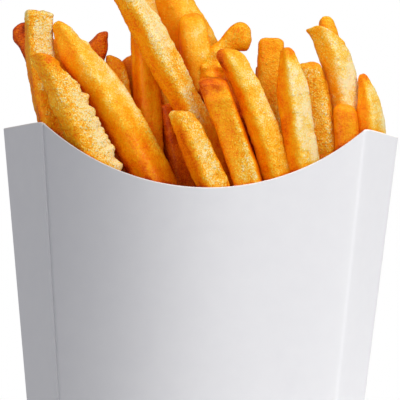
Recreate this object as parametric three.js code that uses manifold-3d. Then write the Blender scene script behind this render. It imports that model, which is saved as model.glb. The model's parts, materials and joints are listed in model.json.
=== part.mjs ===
// French fries in a folded paperboard carton. Millimetres, +Z up. The scooped front panel faces
// -Y, and the origin is the middle of the carton's base, on the surface that it stands on.
import * as THREE from 'three';
import { mergeVertices } from 'three/addons/utils/BufferGeometryUtils.js';
import Module from 'manifold-3d';

const wasm = await Module();
wasm.setup();

// ---- Driving dimensions ------------------------------------------------------------------------

// The carton is six-sided: a wide front and back panel, and two narrow panels folded to a corner
// on each side. These are its outer half widths at the side corners' height and on the base.
const SIDE_HEIGHT = 105;
const MOUTH = { crease: 43, corner: 55.6, deep: 22 };
const BASE = { crease: 36.4, corner: 44.4, deep: 14 };
const BELLY = 3;            // how far the filled carton's wide panels bow out at the mouth
const BELLY_STEPS = 16;

const BOARD = 0.5;          // paperboard thickness
const BASE_BOARDS = 2;      // the base is two flaps, one on the other
const SEAM = { from: 45, boards: 1 };   // the glued lap covers the back left panel from here out

// The cut edge: a round scoop in front, a low arch behind.
const SCOOP = { low: 89.4, radius: 65, shoulder: 105.9, rounding: 1.5, steps: 24 };
const ARCH = { peak: 119, steps: 16 };

const GAP = 0.35;           // left between the fries and the board
const CORE_TOP = 84;        // the closely packed lower part of the fill, all below the scoop
const CLEAR = 200;          // longer than anything here, for the cutting shapes
const SAME_POINT = 0.001;   // points closer than this are one
const SLIVER = 0.03;        // facets that stand out less than this are taken out of a join

const FRY_SIDES = 8;
const FRY_STEPS = 7;
const SQUARENESS = 0.35;    // 1 gives a round section, 0 a sharp square one
const BLUNT_END = 0.78;     // how far a cut end is rounded in

// Each fry's foot, middle and tip, its width and depth, how far its face turns to the right in
// degrees, how wide its tip is, where 1 is a square cut, and how far along it starts to narrow.
const FRONT_FRIES = {
  rough:      [[-14.5, -15, 76], [-28.5, -16.5, 100.5], [-42.8, -17.5, 124.5], 8, 7.2, 35, 1, 1],
  smooth:     [[-5, -13.5, 76], [-22.8, -14, 107.5], [-39.5, -13.5, 134], 8.2, 7.6, 42, 0.4, 0.8],
  short:      [[9, -17, 76], [1.2, -18, 93], [-7, -18.5, 110.3], 7.8, 7.2, 20, 0.85, 0.8],
  brown_top:  [[17.5, -16.5, 76], [9.8, -17, 98.5], [1.8, -17, 119.3], 7.4, 7, -10, 1, 1],
  bent:       [[23.5, -15.5, 76], [17.5, -16.5, 102.5], [6.3, -16, 127.5], 6.8, 6.8, 35, 0.85, 0.8],
  pale_right: [[31, -15.5, 76], [26.4, -16.5, 102], [22.4, -16, 128.3], 7.6, 7.2, 38, 0.5, 0.8],
};
const SECOND_FRIES = {
  big_middle: [[15.5, -8, 76], [-4.2, -9.5, 112], [-24.6, -9, 146], 7.6, 7.4, 45, 1, 1],
  far_left:   [[-29, -8, 78], [-41.8, -8, 108.5], [-45.8, -8, 137.3], 7.2, 7.4, 13, 1, 1],
  matte:      [[37, -8, 76], [33, -8.5, 101], [28.2, -8.5, 124.8], 8.2, 7.2, 5, 1, 1],
  low_right:  [[39, -8, 78], [40, -9, 97], [39, -9, 114.2], 8, 6.4, 0, 0.8, 0.8],
  pointed:    [[46.5, 0, 82], [48.4, -1, 104], [44.4, -1, 122.3], 7.2, 6, 48, 0.25, 0.4],
};
const REAR_FRIES = {
  shadowed:   [[-2.5, 0, 76], [-6, 0, 95], [-9.5, 0, 113], 7, 7, 20, 1, 1],
  upright:    [[-12, -3, 76], [-15, -3, 106], [-16.5, -3, 135.5], 7, 6.8, 30, 1, 1],
  flat_top:   [[21, -2, 78], [19, -3, 105], [18.8, -3, 131.8], 7.2, 6.4, 0, 1, 1],
  tall_right: [[41, 4, 80], [41, 3, 111], [34, 2, 138.6], 7.8, 7, 30, 0.5, 0.75],
  yellow:     [[9, 0, 80], [2.8, -1, 110], [-3.7, -1, 138.3], 7.8, 6.4, 8, 1, 1],
  knob:       [[0.5, -2, 88], [3.2, -2, 120.5], [12.8, -2, 133.8], 6.2, 5.8, 0, 1, 1],
  leaning:    [[27, 9, 82], [7, 8, 117], [-13, 7, 149.5], 7.4, 7.2, 45, 1, 1],
  wedge:      [[0, 5, 82], [-8.5, 4, 116], [-17, 3, 148], 6.6, 6.6, 30, 1, 1],
  dark_point: [[-28, 1, 80], [-28.5, 1, 106], [-28.8, 1, 132.5], 7, 6.4, 25, 0.4, 0.7],
  small:      [[-17, -1, 84], [-21, -2, 105], [-24.8, -3, 125.5], 5.2, 4.8, 10, 0.8, 0.8],
  dark:       [[-15, 6, 80], [-18, 5, 104], [-20.2, 4, 126.3], 5.8, 5.6, 0, 1, 1],
  brown_stub: [[-24, 7, 82], [-39.5, 5, 111], [-51.6, 4, 134.5], 6.4, 5.6, 0, 0.8, 0.8],
  back_left:  [[-30, 14, 78], [-38, 15, 104], [-44.5, 15, 130], 6.6, 6.4, 20, 1, 1],
  back_tall:  [[2, 16, 78], [-3, 16, 108], [-8, 15, 137], 7.2, 6.8, 25, 0.9, 0.8],
  back_plain: [[16, 15, 78], [18, 15, 102], [19.5, 14, 125], 6.8, 6.8, 15, 1, 1],
  back_right: [[30, 15, 78], [34.5, 15, 103], [38, 14, 126], 7, 6.6, 30, 0.8, 0.8],
};

// The fill behind them stands in rows: where each row runs, how far out it reaches, the number of
// its fries, the height of the lowest tip and how much higher the others may be.
const HIDDEN_ROWS = [
  { y: 4, reach: 39, count: 9, lowest: 96, uneven: 8 },
  { y: 11, reach: 40, count: 9, lowest: 105, uneven: 12 },
  { y: 18, reach: 36, count: 8, lowest: 108, uneven: 12 },
];
const HIDDEN_FRY = { foot: 76, fan: 1.1, size: 6.2, size_uneven: 1.4, sway: 5, turn_most: 30 };

// ---- Solids from three.js geometry -------------------------------------------------------------

// A closed geometry as a solid that can be joined and cut.
function solid(geometry) {
  geometry.deleteAttribute('normal');
  geometry.deleteAttribute('uv');
  const merged = mergeVertices(geometry, SAME_POINT);
  return new wasm.Manifold(new wasm.Mesh({
    numProp: 3,
    vertProperties: new Float32Array(merged.attributes.position.array),
    triVerts: new Uint32Array(merged.index.array),
  }));
}

// Moves every point of a geometry; move() changes the point that it is given.
function reshape(geometry, move) {
  const places = geometry.attributes.position;
  const point = new THREE.Vector3();
  for (let i = 0; i < places.count; i++) {
    point.fromBufferAttribute(places, i);
    move(point);
    places.setXYZ(i, point.x, point.y, point.z);
  }
  return geometry;
}

function toGeometry(whole) {
  const { vertProperties, triVerts } = whole.getMesh();
  const geometry = new THREE.BufferGeometry();
  geometry.setAttribute('position', new THREE.BufferAttribute(new Float32Array(vertProperties), 3));
  geometry.setIndex(new THREE.BufferAttribute(new Uint32Array(triVerts), 1));
  return geometry;
}

// The largest body of a solid, by which sealed hollows are filled and loose scraps dropped. First
// its nearby points are merged, which closes the thinnest slits, and the joins' slivers are taken
// out.
function mainBody(whole) {
  const bodies = solid(toGeometry(whole)).simplify(SLIVER).decompose();
  return bodies.reduce((best, body) => (body.volume() > best.volume() ? body : best));
}

function toMesh(name, whole, material) {
  const geometry = toGeometry(whole);
  geometry.computeVertexNormals();
  const mesh = new THREE.Mesh(geometry, material);
  mesh.name = name;
  return mesh;
}

// ---- The carton --------------------------------------------------------------------------------

// Half widths at a height, of the surface that lies `inset` inside the board's outer face.
function halfWidths(height, inset) {
  const wide = (key) => THREE.MathUtils.lerp(BASE[key], MOUTH[key], height / SIDE_HEIGHT);
  const fold = Math.atan2(wide('deep'), wide('corner') - wide('crease'));
  return {
    crease: wide('crease') - inset * Math.tan(fold / 2),
    corner: wide('corner') - inset / Math.sin(fold),
    deep: wide('deep') - inset,
  };
}

// A solid six-sided plug of the carton's form: the mouth's section is extruded upwards, and each
// of its points is then drawn in or out to the half widths at its own height.
function plug(inset, bottom, top) {
  const mouth = halfWidths(SIDE_HEIGHT, inset);
  const section = new THREE.Shape();
  section.moveTo(-mouth.crease, -mouth.deep);
  section.quadraticCurveTo(0, -mouth.deep - 2 * BELLY, mouth.crease, -mouth.deep);
  section.lineTo(mouth.corner, 0);
  section.lineTo(mouth.crease, mouth.deep);
  section.quadraticCurveTo(0, mouth.deep + 2 * BELLY, -mouth.crease, mouth.deep);
  section.lineTo(-mouth.corner, 0);
  const extruded = new THREE.ExtrudeGeometry(section, {
    depth: top - bottom,
    curveSegments: BELLY_STEPS,
    bevelEnabled: false,
  });
  return solid(reshape(extruded, (point) => {
    const height = bottom + point.z;
    const here = halfWidths(height, inset);
    const beyondCrease = Math.max(0, Math.abs(point.x) - mouth.crease);
    const onPanel = Math.min(Math.abs(point.x), mouth.crease) * here.crease / mouth.crease;
    const onFold = beyondCrease * (here.corner - here.crease) / (mouth.corner - mouth.crease);
    point.set(Math.sign(point.x) * (onPanel + onFold), point.y * here.deep / mouth.deep, height);
  }));
}

// Closes an outline that runs along the cut edge from left to right, and extrudes what is above
// it over the front half or the back half of the carton.
function cutter(edge, steps, front, lift) {
  edge.lineTo(CLEAR, SIDE_HEIGHT);
  edge.lineTo(CLEAR, 2 * CLEAR);
  edge.lineTo(-CLEAR, 2 * CLEAR);
  const block = new THREE.ExtrudeGeometry(edge, {
    depth: CLEAR,
    curveSegments: steps,
    bevelEnabled: false,
  });
  block.rotateX(Math.PI / 2);
  block.translate(0, front ? 0 : CLEAR, lift);
  return solid(block);
}

// Everything above the carton's cut edge, raised by `lift`.
function aboveEdge(lift) {
  const { crease, corner } = MOUTH;
  const scoopHalf = crease - SCOOP.rounding;
  const middle = SCOOP.low + SCOOP.radius;
  const swing = Math.asin(scoopHalf / SCOOP.radius);
  const scoopTop = middle - SCOOP.radius * Math.cos(swing);
  const scoop = new THREE.Shape();
  scoop.moveTo(-CLEAR, SIDE_HEIGHT);
  scoop.lineTo(-corner, SIDE_HEIGHT);
  scoop.lineTo(-crease - SCOOP.rounding, SCOOP.shoulder);
  scoop.quadraticCurveTo(-crease, SCOOP.shoulder, -scoopHalf, scoopTop);
  scoop.absarc(0, middle, SCOOP.radius, -Math.PI / 2 - swing, -Math.PI / 2 + swing, false);
  scoop.quadraticCurveTo(crease, SCOOP.shoulder, crease + SCOOP.rounding, SCOOP.shoulder);
  scoop.lineTo(corner, SIDE_HEIGHT);

  const arch = new THREE.Shape();
  arch.moveTo(-CLEAR, SIDE_HEIGHT);
  arch.lineTo(-crease, SIDE_HEIGHT);
  arch.bezierCurveTo(-crease / 2, ARCH.peak, -crease / 2, ARCH.peak, 0, ARCH.peak);
  arch.bezierCurveTo(crease / 2, ARCH.peak, crease / 2, ARCH.peak, crease, SIDE_HEIGHT);

  return cutter(scoop, SCOOP.steps, true, lift).add(cutter(arch, ARCH.steps, false, lift));
}

// The folded and glued board, with every face pushed out by `grow`.
function cartonWall(grow) {
  const inside = plug(BOARD + grow, BASE_BOARDS * BOARD + grow, CLEAR);
  const wall = plug(-grow, -grow, CLEAR / 1.2).subtract(inside);
  return wall.subtract(aboveEdge(grow));
}

// The second layer of board along the back left corner, where the blank is glued to itself.
function seam() {
  const reach = MOUTH.corner;
  const region = new THREE.BoxGeometry(reach, reach, CLEAR);
  region.translate(-SEAM.from - reach / 2, reach / 2, CLEAR / 2);
  const layer = plug(-SEAM.boards * BOARD, 0, CLEAR / 1.2).subtract(plug(BOARD / 2, -1, CLEAR));
  return layer.intersect(solid(region)).subtract(aboveEdge(0));
}

// ---- The fries ---------------------------------------------------------------------------------

// One fry: a cylinder of a few sides squared up to a bar, and carried along a curve through its
// foot, middle and tip. The steps lie closer together at its rounded ends.
function fry([foot, middle, tip, width, depth, turn, point, narrows]) {
  const [start, halfway, end] = [foot, middle, tip].map((place) => new THREE.Vector3(...place));
  const bend = halfway.clone().multiplyScalar(2).sub(start.clone().add(end).multiplyScalar(0.5));
  const path = new THREE.QuadraticBezierCurve3(start, bend, end);
  const bar = new THREE.CylinderGeometry(1, 1, 1, FRY_SIDES, FRY_STEPS, false, Math.PI / FRY_SIDES);
  const square = (part) => Math.sign(part) * Math.abs(part) ** SQUARENESS;
  return solid(reshape(bar, (corner) => {
    const along = (1 - Math.cos(Math.PI * (corner.y + 0.5))) / 2;
    const forward = path.getTangent(along);
    const right = new THREE.Vector3(0, 1, 0).cross(forward).normalize();
    right.applyAxisAngle(forward, THREE.MathUtils.degToRad(turn));
    const front = right.clone().cross(forward);
    const atEnd = along < 1e-6 || along > 1 - 1e-6 ? BLUNT_END : 1;
    const inTip = Math.max(0, along - narrows) / (1 - narrows + Number.EPSILON);
    const girth = atEnd * THREE.MathUtils.lerp(1, point, inTip ** 2) / 2;
    const across = square(corner.x) * width * girth;
    const through = square(corner.z) * depth * girth;
    corner.copy(path.getPoint(along)).addScaledVector(right, across).addScaledVector(front, through);
  }));
}

// A repeatable number from 0 to 1 for the nth fry's kth property.
function chance(n, k) {
  const spread = Math.abs(Math.sin(n * 12.9898 + k * 78.233)) * 437.585;
  return spread - Math.floor(spread);
}

// The rows of fill, as table entries like those above.
function hiddenFries() {
  const { foot, fan, size, size_uneven, sway, turn_most } = HIDDEN_FRY;
  let n = 0;
  return HIDDEN_ROWS.flatMap(({ y, reach, count, lowest, uneven }) => (
    Array.from({ length: count }, (_, place) => {
      n += 1;
      const x = reach * (2 * place / (count - 1) - 1);
      const top = lowest + uneven * chance(n, 1);
      const tip = [x * fan + sway * (chance(n, 2) - 0.5), y + sway * (chance(n, 3) - 0.5) / 2, top];
      const start = [x * (2 - fan) * 0.95, y, foot];
      const middle = start.map((part, axis) => (part + tip[axis]) / 2);
      const width = size + size_uneven * chance(n, 4);
      const depth = size + size_uneven * chance(n, 5);
      return [start, middle, tip, width, depth, turn_most * (2 * chance(n, 6) - 1), 1, 1];
    })
  ));
}

// All fries fused to the packed core, and clear of the board all round.
function heap() {
  const core = plug(BOARD + GAP, BASE_BOARDS * BOARD + GAP, CORE_TOP);
  const placed = [FRONT_FRIES, SECOND_FRIES, REAR_FRIES].flatMap((row) => Object.values(row));
  const fused = [...placed, ...hiddenFries()].reduce((whole, row) => whole.add(fry(row)), core);
  return mainBody(fused.subtract(cartonWall(GAP)));
}

// ---- The part ----------------------------------------------------------------------------------

const whiteBoard = new THREE.MeshStandardMaterial({ color: 0xe9e9ec, roughness: 0.55, metalness: 0 });
const friedPotato = new THREE.MeshStandardMaterial({ color: 0xe9a33b, roughness: 0.6, metalness: 0 });

const part = new THREE.Group();
part.add(toMesh('carton', mainBody(cartonWall(0).add(seam())), whiteBoard));
part.add(toMesh('fries', heap(), friedPotato));

export default part;
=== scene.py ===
"""A helping of french fries in a folded paperboard scoop carton.

Tables and formulas are in millimetres, meshes in metres. +Z is up, the scooped front faces -Y, and
the carton stands on Z = 0.
"""

import json
import math

import bpy
import numpy as np
from mathutils import Euler, Matrix, Vector

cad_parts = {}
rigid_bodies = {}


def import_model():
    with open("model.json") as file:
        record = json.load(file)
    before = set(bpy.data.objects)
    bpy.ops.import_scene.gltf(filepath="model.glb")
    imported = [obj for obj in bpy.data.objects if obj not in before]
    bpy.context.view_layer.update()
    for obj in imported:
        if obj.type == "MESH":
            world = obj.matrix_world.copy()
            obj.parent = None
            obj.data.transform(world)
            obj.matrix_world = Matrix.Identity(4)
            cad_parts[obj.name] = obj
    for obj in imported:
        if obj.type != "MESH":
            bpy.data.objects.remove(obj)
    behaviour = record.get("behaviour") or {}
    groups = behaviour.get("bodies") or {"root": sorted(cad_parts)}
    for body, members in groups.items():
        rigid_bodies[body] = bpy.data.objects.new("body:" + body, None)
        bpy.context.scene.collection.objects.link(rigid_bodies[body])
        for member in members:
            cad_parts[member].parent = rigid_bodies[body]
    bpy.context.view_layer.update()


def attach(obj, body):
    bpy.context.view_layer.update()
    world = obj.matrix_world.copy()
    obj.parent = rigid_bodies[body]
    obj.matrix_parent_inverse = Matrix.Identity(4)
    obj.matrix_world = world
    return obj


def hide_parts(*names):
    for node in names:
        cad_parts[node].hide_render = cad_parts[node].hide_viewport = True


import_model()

# ---- Carton wall ---------------------------------------------------------------------------------
# A scoop carton: one die-cut blank of clay-coated bleached paperboard, scored and folded to six
# sides, and glued to itself along a lap at the back left. The fries inside bow its two wide panels
# out, and its cut edge dips in a round scoop in front and rises in a low arch behind.

SIDE_HEIGHT = 105.0
# Half widths at the mouth and base: to a crease, to a side corner, and through to a wide panel.
MOUTH = {"crease": 43.6, "corner": 55.6, "deep": 22.0}
BASE = {"crease": 35.6, "corner": 44.4, "deep": 14.0}
BOARD = 0.5
BELLY = {"high": 3.0, "power": 4.0, "flatter": 0.75, "flat_below": 10.0, "round_above": 100.0}
FOLD_RADIUS = 0.5
# Grooves pressed for the six folds, from the front left crease round to the left side corner. The
# die pressed the first one deepest and the next one hardly at all.
SCORES = {"deep": (0.24, 0.01, 0.11, 0.11, 0.11, 0.11), "wide": 0.4}
# The cutting die rounds the outer corner of the cut edge this far down and back.
CUT_LIP = {"high": 0.3, "back": 0.16}
LAP = {"from": 45.0, "high": 0.5, "step": 0.25, "sinks_from": 0.4}
SCOOP = {"low": 89.6, "radius": 65.0, "shoulder": 106.6, "rounding": 0.9}
ARCH_PEAK = 119.0
WALL_FOOT = 0.5
WIDE_COLUMNS = 72
NARROW_COLUMNS = 26
WALL_ROWS = 72
RIPPLE = {"high": 0.10, "long": 26.0}
SHARP_FOLD = math.radians(50)

LATTICE = np.random.default_rng(7).uniform(-1, 1, 8191)
HASH = np.array((73856093, 19349663, 83492791))
SEED_STEP = 31.7


def mottle(points, size, seed=0):
    """A smooth uneven field from -1 to 1. Each corner of a cubic lattice, `size` apart, holds a
    random number that its three indices pick from a list, and a point takes the eight numbers
    round its cell, shared out by 3p^2 - 2p^3 along each axis. A seed shifts the lattice."""
    place = points / size + SEED_STEP * seed
    cell = np.floor(place).astype(np.int64)
    part = place - cell
    part = part * part * (3 - 2 * part)
    field = 0.0
    for corner in np.ndindex(2, 2, 2):
        share = np.where(corner, part, 1 - part).prod(axis=-1)
        field = field + share * LATTICE[((cell + corner) @ HASH) % len(LATTICE)]
    return field


def smooth(value, low, high):
    """0 below `low`, 1 above `high`, and 3p^2 - 2p^3 of the way between them."""
    part = np.clip((value - low) / (high - low), 0, 1)
    return part * part * (3 - 2 * part)


def half(key, height):
    """One of the carton's half widths, which grows in proportion to height."""
    return BASE[key] + (MOUTH[key] - BASE[key]) * height / SIDE_HEIGHT


def bow(across, height):
    """How far a wide panel bows out at `across`, -1 to 1 between its creases: 1 - a^2 at the mouth,
    going over to the flatter 1 - |a|^p towards the base, where no fries push it round."""
    flatter = BELLY["flatter"] * (1 - smooth(height, BELLY["flat_below"], BELLY["round_above"]))
    across = np.clip(np.abs(across), 0, 1)
    form = (1 - flatter) * (1 - across**2) + flatter * (1 - across ** BELLY["power"])
    return BELLY["high"] * half("deep", height) / MOUTH["deep"] * form


def front_edge(x):
    """Height of the front cut edge: the lower of the scoop's circle and the shoulder's slope down
    to the side corner, with their meeting rounded: half of a + b - sqrt((a - b)^2 + r^2)."""
    x = np.abs(x)
    circle = SCOOP["low"] + SCOOP["radius"] - np.sqrt(np.maximum(SCOOP["radius"] ** 2 - x**2, 1))
    slope = (SCOOP["shoulder"] - SIDE_HEIGHT) / (MOUTH["corner"] - MOUTH["crease"])
    shoulder = SCOOP["shoulder"] - slope * (x - MOUTH["crease"])
    return (circle + shoulder - np.sqrt((circle - shoulder) ** 2 + SCOOP["rounding"] ** 2)) / 2


def back_edge(x):
    """Height of the back cut edge: level at the sides, and between the creases one swelling arch.
    Its half is a cubic curve, out by r^3 + 1.5 r^2 p + 1.5 r p^2 and up by 1 - r^3, with r = 1 - p,
    so that it is level where it peaks."""
    part = np.linspace(0, 1, 60)
    rest = 1 - part
    out = MOUTH["crease"] * (rest**3 + 1.5 * rest**2 * part + 1.5 * rest * part**2)
    rise = SIDE_HEIGHT + (ARCH_PEAK - SIDE_HEIGHT) * (1 - rest**3)
    return np.interp(np.abs(x), out[::-1], rise[::-1])


def wall_points(height, panel, along, lap):
    """Points of the wall at given heights, one for each column. A column lies `along` its panel,
    from one corner of the six-sided section to the next. A corner is rounded by drawing it inwards
    along the difference of its two panels' directions, by half of sqrt(s^2 + r^2) - s at distance
    s from it, and its score line is a bell-shaped groove, exp(-(s/w)^2). The wide panels bow out
    and ripple faintly. The glued lap's edge, near the back left crease, stands one thickness of
    board up, and that lift fades out towards the side corner."""
    crease, corner, deep = (half(key, height) for key in ("crease", "corner", "deep"))
    nought = np.zeros_like(height)
    across = np.stack([-crease, crease, corner, crease, -crease, -corner])
    through = np.stack([-deep, -deep, nought, deep, deep, nought])
    corners = np.stack([across, through], axis=-1)
    rows, columns = np.indices(height.shape)
    before, near, far, beyond = (corners[(panel + step) % 6, rows, columns] for step in (-1, 0, 1, 2))

    def direction(start, end):
        """Unit direction from one corner of the section to another."""
        return (end - start) / np.linalg.norm(end - start, axis=-1, keepdims=True)

    own = direction(near, far)
    outward = np.stack([own[..., 1], -own[..., 0]], axis=-1)
    width = np.linalg.norm(far - near, axis=-1)
    place = near + (far - near) * along[:, None]
    groove = 0.0
    for gap, turn, score in (
        (width * along, own - direction(before, near), panel),
        (width * (1 - along), direction(far, beyond) - own, (panel + 1) % 6),
    ):
        place = place + turn * (np.sqrt(gap**2 + FOLD_RADIUS**2) - gap)[..., None] / 2
        groove = groove + np.array(SCORES["deep"])[score] * np.exp(-((gap / SCORES["wide"]) ** 2))
    lift = -groove
    wide = panel % 3 == 0
    lift = lift + wide * bow(2 * along - 1, height)
    whole = np.stack([place[..., 0], place[..., 1], height], axis=-1)
    calm = 4 * along * (1 - along)
    lift = lift + wide * calm * RIPPLE["high"] * mottle(whole, RIPPLE["long"])
    if lap:
        glued = smooth(-place[..., 0], LAP["from"], LAP["from"] + LAP["step"])
        glued = glued * (1 - smooth(along, LAP["sinks_from"], 1))
        lift = lift + (panel == 4) * LAP["high"] * glued
    whole[..., :2] += outward * lift[..., None]
    return whole


def rim_heights(panel, along):
    """Height at which each column meets the cut edge: the edge's height at the column's own x,
    which is worked out again a few times, because the columns lean."""
    height = np.full((1, len(panel)), SIDE_HEIGHT)
    front = (panel == 0) | (panel == 1) | (panel == 5)
    for _ in range(6):
        x = wall_points(height, panel, along, False)[..., 0]
        height = np.where(front, front_edge(x), back_edge(x))
    return height


def face_directions(grid):
    """Unit directions square to a closed grid of points: the cross product of its differences
    round the columns, which join up, and along the rows."""
    ring = np.roll(grid, -1, axis=1) - np.roll(grid, 1, axis=1)
    rise = np.gradient(grid, axis=0)
    square = np.cross(ring, rise)
    return square / np.linalg.norm(square, axis=-1, keepdims=True)


def add_piece(name, surfaces, material, node):
    """One mesh object of closed surfaces. Each is a grid of points whose columns join up round it,
    and whose first and last rows are closed by a fan to their mean point, with one number for each
    point in each named attribute. It rides on the part and stands for the node."""
    vertices, faces, fields = [], [], {}
    count = 0
    for grid, attributes in surfaces:
        rows, columns = grid.shape[:2]
        index = count + np.arange(rows * columns).reshape(rows, columns)
        after = np.roll(index, -1, axis=1)
        quads = np.stack([index[:-1], after[:-1], after[1:], index[1:]], axis=-1).reshape(-1, 4)
        low = np.full(columns, count + rows * columns)
        faces += quads.tolist()
        faces += np.stack([low, after[0], index[0]], axis=-1).tolist()
        faces += np.stack([low + 1, index[-1], after[-1]], axis=-1).tolist()
        vertices += [grid.reshape(-1, 3), grid[[0, -1]].mean(axis=1)]
        for key, values in attributes.items():
            fields.setdefault(key, []).extend([values.ravel(), values[[0, -1]].mean(axis=1)])
        count += rows * columns + 2
    mesh = bpy.data.meshes.new(name)
    mesh.from_pydata((np.concatenate(vertices) / 1000).tolist(), [], faces)
    for key, values in fields.items():
        mesh.attributes.new(key, "FLOAT", "POINT").data.foreach_set("value", np.concatenate(values))
    mesh.shade_smooth()
    mesh.materials.append(material)
    piece = bpy.data.objects.new(name, mesh)
    bpy.context.scene.collection.objects.link(piece)
    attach(piece, "root")
    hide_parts(node)
    return piece


def linear(code):
    """An sRGB hex colour as linear red, green, blue and alpha."""
    parts = np.array([int(code[k : k + 2], 16) for k in (1, 3, 5)]) / 255
    parts = np.where(parts <= 0.04045, parts / 12.92, ((parts + 0.055) / 1.055) ** 2.4)
    return (*parts.tolist(), 1.0)


def add_node(tree, kind, settings=None, inputs=None, links=None):
    """Adds a node to a tree with its settings, its sockets' values and the links into it."""
    node = tree.nodes.new(kind)
    for key, value in (settings or {}).items():
        setattr(node, key, value)
    for key, value in (inputs or {}).items():
        node.inputs[key].default_value = value
    for key, source in (links or {}).items():
        tree.links.new(source, node.inputs[key])
    return node


# Clay-coated bleached paperboard: a smooth white clay layer on bleached fibre. It gives the eye a soft
# satin white with the faintest cloudiness, and a duller, fibrous cut edge, lighter than the coating:
# partly the bare fibre's own colour, partly a painted highlight along the rim. The clouds are 4 mm
# wide, and the fibres, 0.03 mm on real board, are drawn 0.35 mm wide so that they show.
coated_board = bpy.data.materials.new("clay_coated_bleached_paperboard")
coated_board.use_nodes = True
tree = coated_board.node_tree
tree.nodes.clear()
place = add_node(tree, "ShaderNodeTexCoord").outputs["Object"]
cut = add_node(tree, "ShaderNodeAttribute", {"attribute_name": "cut"}).outputs["Fac"]
clouds = add_node(
    tree, "ShaderNodeTexNoise", None, {"Scale": 1 / 0.004, "Detail": 3.0}, {"Vector": place}
).outputs["Fac"]
fibres = add_node(
    tree, "ShaderNodeTexNoise", None, {"Scale": 1 / 0.00035, "Detail": 2.0}, {"Vector": place}
).outputs["Fac"]
clay = add_node(
    tree, "ShaderNodeMix", {"data_type": "RGBA"},
    {"A": linear("#DEDEE1"), "B": linear("#E3E3E5")}, {"Factor": clouds},
)
colour = add_node(
    tree, "ShaderNodeMix", {"data_type": "RGBA"}, {"B": linear("#F3EFEA")},
    {"Factor": cut, "A": clay.outputs["Result"]},
)
sheen = add_node(
    tree, "ShaderNodeMapRange", None, {"To Min": 0.42, "To Max": 0.52}, {"Value": clouds}
).outputs["Result"]
dull = add_node(
    tree, "ShaderNodeMath", {"operation": "MAXIMUM"}, None, {0: sheen, 1: cut}
).outputs["Value"]
tooth = add_node(
    tree, "ShaderNodeBump", None, {"Strength": 0.25, "Distance": 0.00002}, {"Height": fibres}
)
board_shader = add_node(
    tree, "ShaderNodeBsdfPrincipled", None, {"IOR": 1.5},
    {"Base Color": colour.outputs["Result"], "Roughness": dull, "Normal": tooth.outputs["Normal"]},
)
add_node(
    tree, "ShaderNodeOutputMaterial", None, None, {"Surface": board_shader.outputs["BSDF"]}
)

columns = [WIDE_COLUMNS if number % 3 == 0 else NARROW_COLUMNS for number in range(6)]
panel = np.concatenate([np.full(count, number) for number, count in enumerate(columns)])
along = np.concatenate([(1 - np.cos(np.pi * np.arange(count) / count)) / 2 for count in columns])
rim = rim_heights(panel, along)
# rows up to the cut edge, with one close below it that keeps the edge crisp
steps = np.append(np.linspace(0, 1, WALL_ROWS) ** 0.9 * 0.998, 1.0)[:, None]
heights = WALL_FOOT + FOLD_RADIUS / 2 + (rim - WALL_FOOT - FOLD_RADIUS / 2) * steps
plain = wall_points(heights, panel, along, False)
outside = wall_points(heights, panel, along, True)
inside = plain - BOARD * face_directions(plain)
foot = outside[:1] - [0, 0, FOLD_RADIUS / 2]
foot[..., :2] *= 1 - FOLD_RADIUS / 2 / MOUTH["deep"]
lip = outside[-1:] - CUT_LIP["back"] * face_directions(plain)[-1:]
outside[-1, :, 2] -= CUT_LIP["high"]
wall = np.concatenate([foot, outside, lip, inside[::-1]])
# from the outer edge of the cut over its lip to the inner edge, the fibre is bare, and lighter than
# the coating, partly as a painted highlight along the rim
cut_edge = np.zeros(wall.shape[:2])
cut_edge[len(outside) : len(outside) + 3] = 1
carton_wall = add_piece(
    "carton_wall", [(wall, {"cut": cut_edge})], coated_board, "carton"
)
carton_wall.data.set_sharp_from_angle(angle=SHARP_FOLD)

# ---- Base flap -----------------------------------------------------------------------------------
# The last flap of the same board, folded up under the carton from its front panel and glued over
# the one from the back, so that the carton stands on it. It ends in a straight cut past the middle.

FLAP = {"reach": 6.0, "inset": 0.9, "narrower": 1.5, "rounding": 0.05, "columns": 48}

part = np.linspace(-1, 1, FLAP["columns"])
flap_edge = half("crease", 0) - FLAP["inset"]
flap_front = -(half("deep", 0) + bow(part, 0) - FLAP["inset"])
flap_x = np.concatenate([part * flap_edge, part[::-1] * (flap_edge - FLAP["narrower"])])
flap_y = np.concatenate([flap_front, np.full(FLAP["columns"], FLAP["reach"])])
outline = np.stack([flap_x, flap_y], axis=-1)
middle = outline.mean(axis=0)
flap_top = BOARD + FLAP["rounding"]
# rings from the middle of the underside out to the cut edge, up it and in over the top
flap = np.stack([
    np.concatenate([middle + (outline - middle) * share, np.full((len(outline), 1), level)], axis=1)
    for share, level in ((0.5, 0), (0.995, 0), (1, FLAP["rounding"]), (1, flap_top), (0.5, flap_top))
])
flap_cut = np.zeros(flap.shape[:2])
flap_cut[2:4] = 1
base_flap = add_piece(
    "base_flap", [(flap, {"cut": flap_cut})], coated_board, "carton"
)
base_flap.data.set_sharp_from_angle(angle=SHARP_FOLD)

# ---- Packed lower part of the fries --------------------------------------------------------------
# Below the scoop the carton is full of fries that stand close together. They are hidden by its wall,
# so one core with their ends in relief on top carries the fries that show. Its dark tone is painted
# shade, deep between the fries.

CORE = {"low": 1.5, "top": 84.0, "rows": 40, "columns": 120, "relief": 3.0, "ends": 7.0, "tone": 0.85}
LID_SHARES = (0.9, 0.75, 0.6, 0.45, 0.3, 0.15)
WIDER_THAN_CARTON = 80.0
CLEARANCE = 0.3
# How far a fry may hang over, and the heights above the cut edge between which that grows.
OVER_EDGE = {"most": 6.0, "from": 0.3, "to": 5.0}


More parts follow.
